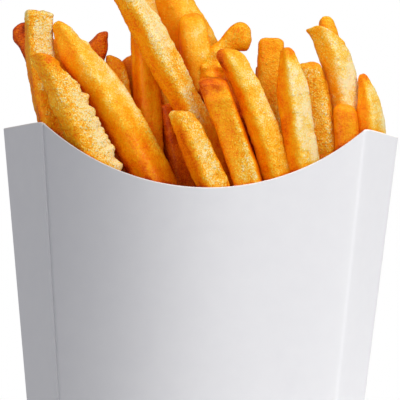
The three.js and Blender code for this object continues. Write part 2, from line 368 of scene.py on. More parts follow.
def in_carton(points):
    """Draws points in to the inner faces of the board, with a little clearance: y to the bowed
    panels and then x to the folded sides. Above the cut edge the limit opens out smoothly, so a
    fry leans on the rim and may hang over it."""
    x, y, z = np.moveaxis(points, -1, 0)
    edge = np.where(y < 0, front_edge(x), back_edge(x))
    free = OVER_EDGE["most"] * smooth(z, edge + OVER_EDGE["from"], edge + OVER_EDGE["to"])
    deep, crease, corner = half("deep", z), half("crease", z), half("corner", z)
    reach = deep + bow(x / crease, z) - BOARD - CLEARANCE + free
    y = np.clip(y, -reach, reach)
    fold = np.arctan2(deep, corner - crease)
    out = corner - (corner - crease) * np.abs(y) / deep - (BOARD + CLEARANCE) / np.sin(fold) + free
    x = np.clip(x, -out, out)
    return np.stack([x, y, z], axis=-1)


# Fried potato: the cut faces dry to a thin granular crust that shines a little with oil over a pale
# translucent inside. It gives the eye warm pale gold where the crust is thin, deep orange where it is
# thick, brown at the thin ends, and small golden glints; the hollows between its grains are deepened
# to orange as painted shade, and the tone each fry brings carries painted light and shade too. The
# grains are 0.4 mm wide, as real ones are. Of the crumbs, 1.1 mm apart, one in three is pale, partly a
# pale crumb and partly a painted glint, and the whole crust is patchy at 3.5 mm. What follows the
# grains is weaker where `crumb` is low.
fried_crust = bpy.data.materials.new("fried_potato_crust")
fried_crust.use_nodes = True
tree = fried_crust.node_tree
tree.nodes.clear()
place = add_node(tree, "ShaderNodeTexCoord").outputs["Object"]
tone = add_node(tree, "ShaderNodeAttribute", {"attribute_name": "tone"}).outputs["Fac"]
crumb = add_node(tree, "ShaderNodeAttribute", {"attribute_name": "crumb"}).outputs["Fac"]
grains = add_node(
    tree, "ShaderNodeTexNoise", None, {"Scale": 1 / 0.0004, "Detail": 2.0, "Roughness": 0.6},
    {"Vector": place},
).outputs["Fac"]
patches = add_node(
    tree, "ShaderNodeTexNoise", None, {"Scale": 1 / 0.0035, "Detail": 2.0}, {"Vector": place}
).outputs["Fac"]
# one crumb in three is made paler: partly a pale crumb, partly a painted glint of oil
specks = add_node(
    tree, "ShaderNodeTexVoronoi", None, {"Scale": 1 / 0.0011}, {"Vector": place}
)
speck_centre = add_node(
    tree, "ShaderNodeMapRange", None,
    {"From Min": 0.22, "From Max": 0.42, "To Min": 1.0, "To Max": 0.0},
    {"Value": specks.outputs["Distance"]},
).outputs["Result"]
speck_pick = add_node(
    tree, "ShaderNodeSeparateColor", None, None, {"Color": specks.outputs["Color"]}
).outputs["Red"]
one_in_three = add_node(
    tree, "ShaderNodeMath", {"operation": "GREATER_THAN"}, {1: 0.66}, {0: speck_pick}
).outputs["Value"]
speck_and_painted_glint = add_node(
    tree, "ShaderNodeMath", {"operation": "MULTIPLY"}, None, {0: speck_centre, 1: one_in_three}
).outputs["Value"]
grain_share = add_node(
    tree, "ShaderNodeMapRange", None,
    {"From Min": 0.35, "From Max": 0.65, "To Min": 0.17, "To Max": -0.17}, {"Value": grains},
).outputs["Result"]
speckled = add_node(
    tree, "ShaderNodeMath", {"operation": "MULTIPLY_ADD"}, {1: -0.14}, {0: speck_and_painted_glint, 2: grain_share}
).outputs["Value"]
rough_share = add_node(
    tree, "ShaderNodeMapRange", None, {"To Min": 0.2, "To Max": 1.0}, {"Value": crumb}
).outputs["Result"]
patch_tone = add_node(
    tree, "ShaderNodeMapRange", None,
    {"From Min": 0.3, "From Max": 0.7, "To Min": -0.08, "To Max": 0.08}, {"Value": patches},
).outputs["Result"]
uneven = add_node(
    tree, "ShaderNodeMath", {"operation": "MULTIPLY_ADD"}, None,
    {0: speckled, 1: rough_share, 2: patch_tone},
).outputs["Value"]
# the tone attribute holds the fry's browning and its painted light and shade alike
browned_and_shaded = add_node(
    tree, "ShaderNodeMath", {"operation": "ADD"}, None, {0: uneven, 1: tone}
).outputs["Value"]
frying = add_node(tree, "ShaderNodeValToRGB", None, None, {"Fac": browned_and_shaded})
CRUST_TONES = (
    (0.0, "#FFE8B0"), (0.1, "#FFDA80"), (0.2, "#FEC740"), (0.32, "#FDB112"), (0.46, "#FB9800"),
    (0.6, "#F07800"), (0.76, "#CC4C00"), (1.0, "#5E1A00"),
)
while len(frying.color_ramp.elements) < len(CRUST_TONES):
    frying.color_ramp.elements.new(0.5)
for stop, (position, code) in zip(frying.color_ramp.elements, CRUST_TONES):
    stop.position = position
    stop.color = linear(code)
# painted shade in the hollows: where the grain is low the colour is darkened by a gamma, more where
# the crust is crumbly
hollow_shade_depth = add_node(
    tree, "ShaderNodeMapRange", None, {"To Min": 1.1, "To Max": 1.25}, {"Value": crumb}
).outputs["Result"]
painted_hollow_shade = add_node(
    tree, "ShaderNodeMapRange", None,
    {"From Min": 0.35, "From Max": 0.6, "To Max": 1.0}, {"Value": grains, "To Min": hollow_shade_depth},
).outputs["Result"]
hollow_shaded = add_node(
    tree, "ShaderNodeGamma", None, None, {"Color": frying.outputs["Color"], "Gamma": painted_hollow_shade}
)
oily = add_node(
    tree, "ShaderNodeMapRange", None, {"To Min": 0.25, "To Max": 0.6}, {"Value": grains}
).outputs["Result"]
grain_height = add_node(
    tree, "ShaderNodeMath", {"operation": "MULTIPLY_ADD"}, {1: 0.5}, {0: speck_and_painted_glint, 2: grains}
).outputs["Value"]
crust_height = add_node(
    tree, "ShaderNodeMath", {"operation": "MULTIPLY"}, None, {0: grain_height, 1: rough_share}
).outputs["Value"]
relief = add_node(
    tree, "ShaderNodeBump", None, {"Strength": 0.9, "Distance": 0.0005}, {"Height": crust_height}
)
crust_shader = add_node(
    tree, "ShaderNodeBsdfPrincipled", None,
    {
        "IOR": 1.45, "Specular IOR Level": 0.3, "Specular Tint": linear("#FFE7B3"),
        "Subsurface Weight": 0.25, "Subsurface Radius": (1.0, 0.45, 0.12), "Subsurface Scale": 0.0014,
        "Coat Weight": 0.05, "Coat Roughness": 0.15,
    },
    {
        "Base Color": hollow_shaded.outputs["Color"], "Roughness": oily,
        "Normal": relief.outputs["Normal"],
    },
)
add_node(
    tree, "ShaderNodeOutputMaterial", None, None, {"Surface": crust_shader.outputs["BSDF"]}
)

turn = 2 * np.pi * np.arange(CORE["columns"]) / CORE["columns"]
level = np.linspace(CORE["low"], CORE["top"], CORE["rows"])[:, None]
# rings that are wider than the carton, drawn in to its inner faces
around = (WIDER_THAN_CARTON * np.cos(turn), WIDER_THAN_CARTON * np.sin(turn), level)
fill = np.stack(np.broadcast_arrays(*around), axis=-1)
fill[..., 0] = np.clip(fill[..., 0], -half("corner", fill[..., 2]), half("corner", fill[..., 2]))
fill = in_carton(fill)
lid = np.concatenate([fill[-1:] * [share, share, 1] for share in LID_SHARES])
lid[..., 2] += CORE["relief"] * (mottle(lid, CORE["ends"]) - 1) / 2
fill = np.concatenate([fill, lid])
# the core's dark tone is painted shade, deep in the gaps between the fries
dark = np.full(fill.shape[:2], CORE["tone"])
add_piece(
    "packed_core", [(fill, {"tone": dark, "crumb": dark})], fried_crust, "fries"
)

# ---- Fries ---------------------------------------------------------------------------------------
# Potatoes cut to bars 7 to 8 mm square and fried twice. Their faces sink a little and blister, their
# edges dry to a ragged crust, and thin or pointed ends brown first. They stand fanned out in the
# carton, the nearest ones leaning to the left against its front panel.

SUNK = 0.035
GIRTH = {"uneven": 0.09, "width_over": 12.0, "depth_over": 10.0}
FOOT_END = 1.1
FOOT_ROWS = 6
TIP_ROWS = 14
CROWDED_IN_FRONT = 0.42
SLANT_LENGTH = 8.0
TIP_TONE_LENGTH = 5.0
# how much darker the painted shadow along the board's front edge makes the nearest fries
RIM_SHADOW_TONE = 0.14
# How wide the marks of frying are, in the skin's relief and in how brown it is, and how uneven the
# edge is between the faces' tones with their painted light and shade. The crumbs are drawn larger than
# real ones, which are 0.3 to 0.6 mm wide.
SKIN = {
    "lumps": 8.0, "blisters": 3.4, "pits": 2.4, "crumbs": 0.9, "grit": 1.6, "ragged": 1.4, "torn": 1.9,
}
BROWNING_AND_SHADE = {"broad": 6.0, "fine": 2.0, "border": 4.0, "tip": 2.0, "patch": 1.6}
RUFFLE = {"wide": 1.3, "fades_in": 0.08, "fades_out": 0.03, "gaps": 0.3}


def crumbs(points, size, seed=0):
    """Heights from 0 to 1, like round crumbs packed side by side. Each cubic cell, `size` wide,
    holds one point at random, and the height is 1 - d^2, where d is the distance to the nearest
    of them, in cells."""
    place = points / size + SEED_STEP * seed
    cell = np.floor(place).astype(np.int64)
    nearest = np.full(points.shape[:-1], 9.0)
    for step in np.ndindex(3, 3, 3):
        there = cell + step - 1
        pick = there @ HASH
        shift = np.stack([LATTICE[(pick * stride) % len(LATTICE)] for stride in (1, 7, 13)], axis=-1)
        nearest = np.minimum(nearest, ((place - there - 0.5 - 0.4 * shift) ** 2).sum(axis=-1))
    return np.clip(1 - nearest, 0, 1)


def fry(shape, look, rings, sides, seed):
    """One fry as a grid of points with its tone and crumb. A squared section, of radius
    (|cos|^p + |sin|^p)^(-1/p), is carried along the curve (1-t)^2 a + 2t(1-t) b + t^2 c through
    foot, middle and tip, and turned about it. Each end closes like a superellipse, girth
    (1 - s^p)^(1/p) at share s of its length, and the tip narrows with the square of the way past
    the point where it starts to. Lumps, blisters and crumbs stand out square to that surface.
    The columns stand closer together in front, at the angles a - 0.42 cos(a)."""
    foot, middle, tip, width, depth, twist, point, narrows = shape
    foot, middle, tip = (np.array(place, float) for place in (foot, middle, tip))
    left, front, right, tip_tone, grain = look["tones"]
    square = look.get("square", 3.4)
    end, end_power = look.get("end", (1.3, 3.5))
    size = np.linalg.norm(tip - foot)

    # rows along it: the rounded foot, the bar, closer together towards the tip, and the tip
    bar_rows = rings - FOOT_ROWS - TIP_ROWS
    foot_share = 1 - (1 - np.arange(FOOT_ROWS) / FOOT_ROWS) ** 3
    tip_share = 1 - (1 - np.arange(TIP_ROWS) / TIP_ROWS) ** 3
    foot_end = FOOT_END / size
    tip_end = end / size
    bar = foot_end + (1 - tip_end - foot_end) * np.linspace(0, 1, bar_rows + 2)[1:-1] ** 0.8
    foot_part = foot_end * (1 - foot_share[::-1])
    t = np.concatenate([foot_part, bar, 1 - tip_end * (1 - tip_share)])[:, None]
    foot_closing = ((1 - foot_share**4) ** 0.25)[::-1]
    tip_closing = (1 - tip_share**end_power) ** (1 / end_power)
    closing = np.concatenate([foot_closing, np.ones(bar_rows), tip_closing])[:, None]

    bend = 2 * middle - (foot + tip) / 2
    centre = (1 - t) ** 2 * foot + 2 * t * (1 - t) * bend + t**2 * tip
    forward = 2 * (1 - t) * (bend - foot) + 2 * t * (tip - bend)
    forward /= np.linalg.norm(forward, axis=1, keepdims=True)
    level = np.cross((0.0, 1.0, 0.0), forward)
    level /= np.linalg.norm(level, axis=1, keepdims=True)
    angle = math.radians(twist)
    across = level * math.cos(angle) + np.cross(forward, level) * math.sin(angle)
    back = np.cross(forward, across)

    # its section, with sunken faces, uneven girths, a slanted cut end and a torn one
    turn = 2 * np.pi * np.arange(sides) / sides
    phi = (turn - CROWDED_IN_FRONT * np.cos(turn + angle))[None, :]
    cos, sin = np.cos(phi), np.sin(phi)
    radius = (np.abs(cos) ** square + np.abs(sin) ** square) ** (-1 / square)
    edge = np.abs(np.sin(2 * phi)) ** 6
    radius = radius * (1 - SUNK * np.cos(2 * phi) ** 4)
    inside_tip = np.clip((t - narrows) / (1 - narrows + 1e-9), 0, 1)
    girth = closing * (1 + (point - 1) * inside_tip**2)
    for at, share, long in look.get("girths", ()):
        girth = girth * (1 + share * np.exp(-(((t - at) * size / long) ** 2)))
    girth_x = girth * (1 + GIRTH["uneven"] * mottle(centre, GIRTH["width_over"], seed)[:, None])
    girth_y = girth * (1 + GIRTH["uneven"] * mottle(centre, GIRTH["depth_over"], seed + 9)[:, None])
    x = girth_x * radius * cos * width / 2
    y = girth_y * radius * sin * depth / 2
    surface = centre[:, None] + across[:, None] * x[..., None] + back[:, None] * y[..., None]
    slant_x, slant_y = look.get("slant", (0.0, 0.0))
    sheared = (slant_x * x / width + slant_y * y / depth) * 2 * smooth(t, 1 - SLANT_LENGTH / size, 1)
    torn = look.get("torn", 0.25) * (1 - closing) * mottle(surface, SKIN["torn"], seed + 6)
    surface = surface + forward[:, None] * (sheared + torn)[..., None]

    outward = across[:, None] * cos[..., None] + back[:, None] * sin[..., None]
    endward = (1 - closing) * np.sign(t - 0.5)
    outward = outward * closing[..., None] + forward[:, None] * endward[..., None]
    outward /= np.linalg.norm(outward, axis=-1, keepdims=True)

    # each face has its own tone, partly browning and partly painted light and shade: the front paler
    # where light falls, the left and right deeper orange where they are shaded; it goes over softly
    # into the next one's, and so has the tip
    border = 0.2 * mottle(surface, BROWNING_AND_SHADE["border"], seed + 7)
    sideways = smooth(np.abs(cos) - np.clip(-sin, 0, 1) + border, -0.3, 0.75)
    tone = sideways * np.where(cos > 0, right, left) + (1 - sideways) * np.where(sin < 0, front, right)
    # painted shade on the foot, where the other fries shade it
    tone = tone + look.get("shade", 0.0) * (1 - smooth(t, 0.25, 0.6))
    tipward = t + 0.012 * mottle(surface, BROWNING_AND_SHADE["tip"], seed + 8)
    tone = tone + (tip_tone - tone) * smooth(tipward, 1 - TIP_TONE_LENGTH / size, 1)

    def round_from(degrees):
        """Distance round the fry from an angle on it: the angle between times the mean radius."""
        apart = (phi - math.radians(degrees) + np.pi) % (2 * np.pi) - np.pi
        return apart * (width + depth) / 4

    # its own bumps and patches: bells, exp(-(a/l)^2 - (b/w)^2), round a place on it
    lumps = 0
    for kind in ("bumps", "patches"):
        for at, degrees, amount, long, wide in look.get(kind, ()):
            bell = np.exp(-(((t - at) * size / long) ** 2) - (round_from(degrees) / wide) ** 2)
            if kind == "bumps":
                lumps = lumps + amount * bell
            else:
                # a patch browns or pales a place, and some of them paint shade where a neighbour
                # shades the fry
                tone = tone + amount * bell * (1 + 0.4 * mottle(surface, BROWNING_AND_SHADE["patch"], seed + 10))

    # the pale parts are crumbly and the well fried ones smooth; heights are in mm, with a share
    # that every skin has and a share that grows with its grain; what stands out is paler
    grain = grain * (1 - 0.6 * smooth(tone, 0.25, 0.55))
    blister = np.clip(mottle(surface, SKIN["blisters"], seed + 1) - 0.2, 0, 1)
    pit = np.clip(-mottle(surface, SKIN["pits"], seed + 2) - 0.35, 0, 1)
    grit = crumbs(surface, SKIN["crumbs"], seed) - 0.62
    height = lumps + 0.34 * mottle(surface, SKIN["lumps"], seed)
    height = height + (0.14 + 0.2 * grain) * (blister - 0.8 * pit)
    height = height + (0.05 + 0.22 * grain) * grit + 0.06 * grain * mottle(surface, SKIN["grit"], seed)
    ragged = mottle(surface, SKIN["ragged"], seed + 3)
    height = height + edge * (0.05 + (0.08 + 0.25 * grain) * ragged)
    tone = tone + 0.05 * mottle(surface, BROWNING_AND_SHADE["broad"], seed + 4)
    tone = tone + 0.03 * mottle(surface, BROWNING_AND_SHADE["fine"], seed + 5)
    tone = tone - 0.06 * blister + 0.05 * pit - (0.03 + 0.12 * grain) * grit

    # a ruffle of crust along one edge, of round lobes
    if "ruffle" in look:
        degrees, amount, lobe, start, stop = look["ruffle"]
        reach = smooth(t, start - RUFFLE["fades_in"], start + RUFFLE["fades_in"])
        reach = reach * (1 - smooth(t, stop - RUFFLE["fades_out"], stop + RUFFLE["fades_out"]))
        reach = reach * np.exp(-((round_from(degrees) / RUFFLE["wide"]) ** 2))
        height = height + amount * reach * (crumbs(surface, lobe, seed + 3) - RUFFLE["gaps"])
    surface = in_carton(surface + outward * (height * smooth(closing, 0, 0.6))[..., None])

    # on the nearest ones, a painted shadow darkens them from the board's front edge down, where they
    # lean on it
    x, y, z = np.moveaxis(surface, -1, 0)
    painted_rim_shadow = smooth(-y, 5, 10) * (1 - smooth(z - front_edge(x), 0.1, 1.4))
    return surface, {"tone": tone + RIM_SHADOW_TONE * painted_rim_shadow, "crumb": grain}


# A shape is a fry's foot, middle and tip, its width and depth, how far its face turns to the right
# in degrees, its tip's share of the width and where along it starts to narrow. Along a fry, a place
# is a share of its length, and round it an angle: -90 in front, 0 at the right, 180 at the left.
#   tones: left, front and right face and tip, from 0, pale, to 1, brown, with painted light and shade
#       in the faces' tones; how crumbly the crust is
#   slant: how far the tip leans across and through; end: how long its rounding is, and its power
#   torn: how uneven the tip is; square: the section's power; shade: how much painted shade darkens the
#       foot
#   girths: place, share wider, length; ruffle: angle, height, width of a lobe, start and stop
#   bumps: place, angle, height, length, breadth; patches: place, angle, tone, length, breadth, some
#       painted shade
# These are the nearest six, from left to right.
FRONT_FRIES = {
    "rough": (
        ((-18.3, -15, 76), (-31.5, -16.5, 100.5), (-43, -17.5, 124.5), 8, 7.2, 35, 1, 1),
        {
            "tones": (0.38, 0.19, 0.44, 0.4, 1.0), "slant": (-2.4, 0.6), "square": 3.3,
            "ruffle": (-36, 2.5, 2.4, 0.14, 0.82),
            "bumps": (
                (0.42, -60, 0.5, 5, 1.6), (0.62, -75, 0.35, 4, 2), (0.8, -70, 0.3, 4, 1.5),
                (0.96, -35, -2.0, 5, 3.2), (0.16, -36, 0.7, 8, 2),
            ),
            "patches": (
                (0.66, -62, -0.1, 9, 2.2), (0.42, -52, -0.1, 9, 1.8), (0.95, -100, 0.16, 3, 4),
                (0.5, -130, 0.1, 14, 2), (0.85, -80, 0.04, 5, 3), (0.45, -38, -0.12, 20, 1.2),
            ),
        },
    ),
    "smooth": (
        ((-5, -10.5, 76), (-22.3, -11, 107.6), (-39.7, -10.5, 134.2), 8.2, 7.6, 42, 0.4, 0.72),
        {
            "tones": (0.4, 0.22, 0.62, 0.36, 0.45), "slant": (-4.0, 0.4), "end": (2.6, 2.2),
            "square": 3.5, "girths": ((0.4, 0.26, 22),),
            "bumps": (
                (0.86, 155, 1.9, 6, 3), (0.86, -42, -1.9, 7, 3.2), (0.855, -45, 0.9, 1.5, 1.2),
                (0.55, -130, 0.35, 8, 2),
            ),
            # the patch at 148 degrees, along its left edge, is painted shadow cast by the rough fry in
            # front
            "patches": (
                (0.86, -45, -0.2, 2.2, 1.4), (0.3, -110, 0.27, 11, 3.4), (0.14, -90, 0.3, 9, 6),
                (0.6, -62, -0.15, 14, 1.4), (0.45, 148, 0.35, 22, 1.6), (0.75, 150, 0.15, 10, 1.0),
            ),
        },
    ),
    "short": (
        ((9, -17, 76), (1.3, -18, 93), (-6.3, -18.5, 110.3), 7.8, 7.2, 28, 0.75, 0.5),
        {
            "tones": (0.58, 0.18, 0.6, 0.2, 0.9), "slant": (-1.2, 0.8), "end": (1.8, 2.6),
            "torn": 0.5,
            "bumps": (
                (0.95, -52, -1.6, 1.6, 1.4), (0.95, -110, 0.4, 1.5, 2), (0.7, -128, 0.35, 7, 0.9),
                (0.4, -50, 0.3, 9, 0.9),
            ),
            "patches": (
                (0.5, -140, 0.2, 20, 1.1), (0.45, -46, 0.16, 18, 0.8), (0.94, -60, 0.12, 1.4, 1.2),
                (0.75, -80, -0.05, 5, 1.5),
            ),
        },
    ),
    "brown_top": (
        ((17.5, -16.5, 76), (9.8, -17, 98.5), (1.8, -17, 119.3), 7.4, 7, -10, 1, 1),
        {
            "tones": (0.58, 0.39, 0.6, 0.62, 0.75), "slant": (-1.4, 0.8), "end": (1.8, 2.8),
            "bumps": ((0.93, -90, -0.5, 2.4, 3), (0.86, -90, 0.4, 1.6, 3), (0.5, -48, 0.3, 16, 0.8)),
            "patches": (
                (0.93, -100, 0.08, 2.6, 4), (0.9, -140, 0.1, 6, 1.4), (0.74, -90, 0.05, 6, 3),
                (0.35, -75, -0.12, 10, 1.8), (0.5, -52, -0.2, 16, 0.7), (0.4, -135, 0.12, 20, 0.9),
                (0.2, -90, -0.06, 10, 3),
            ),
        },
    ),
    "bent": (
        ((23.5, -15.5, 76), (17.5, -16.5, 102.5), (5.6, -16, 127.5), 6.8, 6.8, 35, 0.85, 0.8),
        {
            "tones": (0.46, 0.21, 0.6, 0.42, 0.5), "slant": (-2.0, 0.4), "end": (3.4, 2.2),
            "square": 3.5, "girths": ((0.84, -0.1, 5),),
            "bumps": ((0.96, 170, 0.8, 2.4, 1.6), (0.72, -60, 0.3, 5, 1.4)),
            "patches": (
                (0.96, 170, 0.34, 4, 1.8), (0.8, 170, 0.14, 7, 1.4), (0.75, -128, 0.05, 6, 1.0),
                (0.3, -85, 0.14, 12, 4), (0.12, -90, 0.14, 5, 5), (0.7, -68, -0.08, 10, 1.5),
            ),
        },
    ),
    "pale_right": (
        ((31, -15.5, 76), (26.4, -16.5, 102), (22.2, -16, 128.3), 7.6, 7.2, 38, 0.4, 0.76),
        {
            "tones": (0.48, 0.06, 0.6, 0.46, 0.4), "slant": (-0.4, 0.3), "end": (2.0, 2.3),
            "square": 3.6, "girths": ((0.93, -0.16, 5),),
            "bumps": ((0.9, -130, 0.3, 2, 1.2), (0.82, -150, -0.35, 3, 1.5)),
            "patches": (
                (0.93, -90, 0.2, 3.0, 3), (0.3, -60, -0.05, 9, 2), (0.1, -90, 0.14, 5, 5),
                (0.5, 170, 0.12, 20, 1.5), (0.25, -128, 0.08, 9, 1), (0.2, -108, 0.14, 12, 1.4),
            ),
        },
    ),
}
# the ones close behind those
SECOND_FRIES = {
    "big_middle": (
        ((15.5, -8, 76), (-4.2, -9.5, 112), (-23, -9, 146), 7.45, 7.25, 45, 1, 1),
        {
            "tones": (0.46, 0.08, 0.62, 0.4, 0.8), "square": 3.7, "shade": 0.12,
            "bumps": (
                (0.96, -25, -3.0, 6, 4), (0.78, -120, 0.35, 7, 1.6), (0.52, -80, 0.35, 4, 2),
                (0.4, -75, 0.3, 3, 1.6),
            ),
            "patches": (
                (0.68, -75, 0.18, 3.4, 2), (0.6, -95, 0.22, 3.2, 1.8), (0.53, -70, 0.22, 2.6, 1.8),
                (0.44, -80, 0.2, 5, 2.8), (0.3, -80, 0.24, 8, 3), (0.85, -75, -0.06, 8, 1.8),
                (0.2, -80, 0.4, 12, 6), (0.48, -50, -0.12, 5, 1), (0.95, -150, -0.2, 8, 1.6),
                (0.5, 170, 0.08, 14, 2),
            ),
        },
    ),
    "far_left": (
        ((-29, -8, 78), (-41.8, -8, 108.5), (-45.8, -8, 137.3), 7.2, 7.4, 13, 1, 1),
        {
            "tones": (0.42, 0.1, 0.4, 0.18, 1.0), "slant": (-0.3, 0.3), "torn": 0.5, "square": 5.5,
            "bumps": ((0.63, -110, 0.6, 1.8, 1.7), (0.5, -115, 0.35, 3, 1.5), (0.97, -135, 0.3, 1, 1)),
            "patches": (
                (0.62, -95, 0.32, 8, 6), (0.38, -95, 0.36, 9, 6), (0.15, -95, 0.4, 9, 6),
                (0.25, -60, 0.3, 6, 2), (0.63, -105, -0.25, 1.9, 1.6), (0.88, -128, 0.18, 16, 0.7),
                (0.9, -50, -0.05, 14, 0.9),
            ),
        },
    ),
    "matte": (
        ((37, -8, 76), (33, -8.5, 101), (28.2, -8.5, 124.8), 8.2, 7.2, 5, 1, 1),
        {
            "tones": (0.5, 0.27, 0.5, 0.36, 0.9), "end": (3.0, 2.6), "square": 3.0, "shade": 0.16,
            "bumps": ((0.4, -50, 0.4, 2, 1.2), (0.6, -60, 0.25, 2, 1)),
            "patches": ((0.92, -110, -0.1, 2, 2), (0.5, -60, -0.12, 14, 1.2), (0.3, -100, 0.08, 9, 3)),
        },
    ),
    "low_right": (
        ((38.8, -9, 78), (40, -10, 97), (38.8, -10.5, 113.4), 6.8, 6.4, -8, 0.8, 0.8),
        {
            "tones": (0.54, 0.48, 0.54, 0.44, 0.5), "slant": (-1.0, 0.4), "end": (2.6, 2.4),
            "square": 3.4, "shade": 0.4,
            "patches": ((0.7, -60, -0.08, 6, 1.0), (0.6, -120, 0.1, 8, 1.2)),
        },
    ),
    "pointed": (
        ((45, -6, 82), (47.2, -7, 104), (43.9, -7, 122), 8.4, 6, 48, 0.25, 0.4),
        {
            "tones": (0.48, 0.08, 0.4, 0.44, 0.4), "end": (1.6, 2.4), "square": 3.4,
            "bumps": ((0.6, 150, 1.0, 8, 2.5), (0.3, 150, 1.0, 6, 2.5)),
            "patches": ((0.95, -90, 0.15, 3, 3), (0.55, -110, 0.12, 10, 1.4)),
        },
    ),
}
# the ones that rise behind both
REAR_FRIES = {
    # its deep red tone is painted shade: it stands in the shade of the fries in front
    "shadowed": (
        ((-2.5, 0, 76), (-6, 0, 95), (-9.5, 0, 113), 7, 7, 20, 1, 1),
        {"tones": (0.72, 0.7, 0.72, 0.7, 0.4)},
    ),
    "upright": (
        ((-12, -3, 76), (-15, -3, 106), (-16.5, -3, 135.5), 7, 6.8, 30, 1, 1),
        {
            "tones": (0.55, 0.45, 0.48, 0.48, 0.3),
            "patches": ((0.85, 160, -0.12, 5, 1.2), (0.3, -40, -0.1, 9, 0.8)),
        },
    ),
    "flat_top": (
        ((21, -2, 78), (19, -3, 105), (18.8, -3, 131.8), 7.2, 6.4, 0, 1, 1),
        {
            "tones": (0.44, 0.34, 0.3, 0.37, 0.5), "end": (2.0, 2.8), "girths": ((0.8, -0.06, 4),),
            "patches": ((0.6, -48, -0.12, 12, 0.7), (0.4, -100, 0.1, 9, 3)),
        },
    ),
    "tall_right": (
        ((38.3, -3.5, 80), (40.6, -4.5, 109), (33.8, -5.5, 133.1), 8, 7.2, 40, 1, 1),
        {
            "tones": (0.28, 0.05, 0.4, 0.32, 0.4), "slant": (-4.6, 0.2), "end": (1.4, 2.6),
            "square": 2.8, "girths": ((0.35, 0.08, 9),),
            "bumps": ((0.985, 165, 1.2, 1.4, 1.6), (0.94, -30, -0.6, 4, 3), (0.9, 165, 0.4, 4, 2.6)),
            "patches": (
                (0.9, -90, 0.14, 4, 4), (0.985, -100, -0.12, 0.8, 4), (0.6, -100, 0.08, 6, 1.5),
                (0.2, -90, 0.35, 12, 6), (0.74, -85, -0.06, 4, 2),
            ),
        },
    ),
    "yellow": (
        ((9, 0, 80), (2.4, -1, 110), (-4.3, -1, 138.3), 8.4, 6.4, 8, 1, 1),
        {
            "tones": (0.5, 0.26, 0.48, 0.36, 0.25), "end": (4.0, 2.3), "square": 2.8, "shade": 0.3,
            "bumps": ((0.82, -90, 0.4, 6, 2.6), (0.7, -90, -0.3, 3, 3), (0.8, 170, 0.8, 6, 2)),
            "patches": (
                (0.99, -90, 0.14, 1.0, 5), (0.88, -88, -0.12, 3.5, 1.8), (0.5, -90, 0.2, 9, 5),
                (0.75, -130, 0.1, 12, 1.4),
            ),
        },
    ),
    "knob": (
        ((2.5, -2, 88), (2.1, -2, 120.5), (13.4, -2, 132.6), 6.8, 5.8, 0, 1, 1),
        {
            "tones": (0.38, 0.34, 0.4, 0.38, 0.6), "end": (3.8, 2.1), "square": 2.4, "shade": 0.4,
            "girths": ((0.92, 0.22, 3.6), (0.75, -0.2, 3.0), (0.5, 0.1, 8)),
            "bumps": (
                (0.5, -90, 1.3, 1.0, 1.2), (0.58, -60, 1.3, 1.0, 1.1), (0.66, -110, 0.9, 1.4, 0.8),
                (0.45, -50, 1.3, 1.2, 1.0), (0.54, -125, 1.1, 1.0, 0.9), (0.62, -85, -0.7, 1.0, 0.9),
            ),
            "patches": (
                (0.55, -60, 0.15, 3, 1.6), (0.68, -100, -0.1, 4, 1.4), (0.93, 0, 0.15, 3, 2),
                (0.5, -90, -0.15, 0.8, 1.0), (0.58, -60, -0.2, 0.8, 0.9), (0.35, -90, 0.3, 5, 5),
            ),
        },
    ),
    "leaning": (
        ((27, 7, 82), (6.4, 5.5, 117), (-13, 5.5, 149.5), 7.8, 7.4, 45, 1, 1),
        {
            "tones": (0.42, 0.29, 0.5, 0.32, 0.4), "square": 3.2, "shade": 0.4,
            "girths": ((0.74, 0.26, 18),), "bumps": ((0.8, 140, 1.6, 18, 4),),
            "patches": ((0.55, -90, 0.12, 6, 3), (0.35, -80, 0.3, 12, 8)),
        },
    ),
    "wedge": (
        ((0, 5, 82), (-10.3, 4, 116), (-19.2, 3, 148), 6.6, 6.6, 30, 1, 1),
        {"tones": (0.3, 0.16, 0.3, 0.3, 0.3), "shade": 0.3},
    ),
}
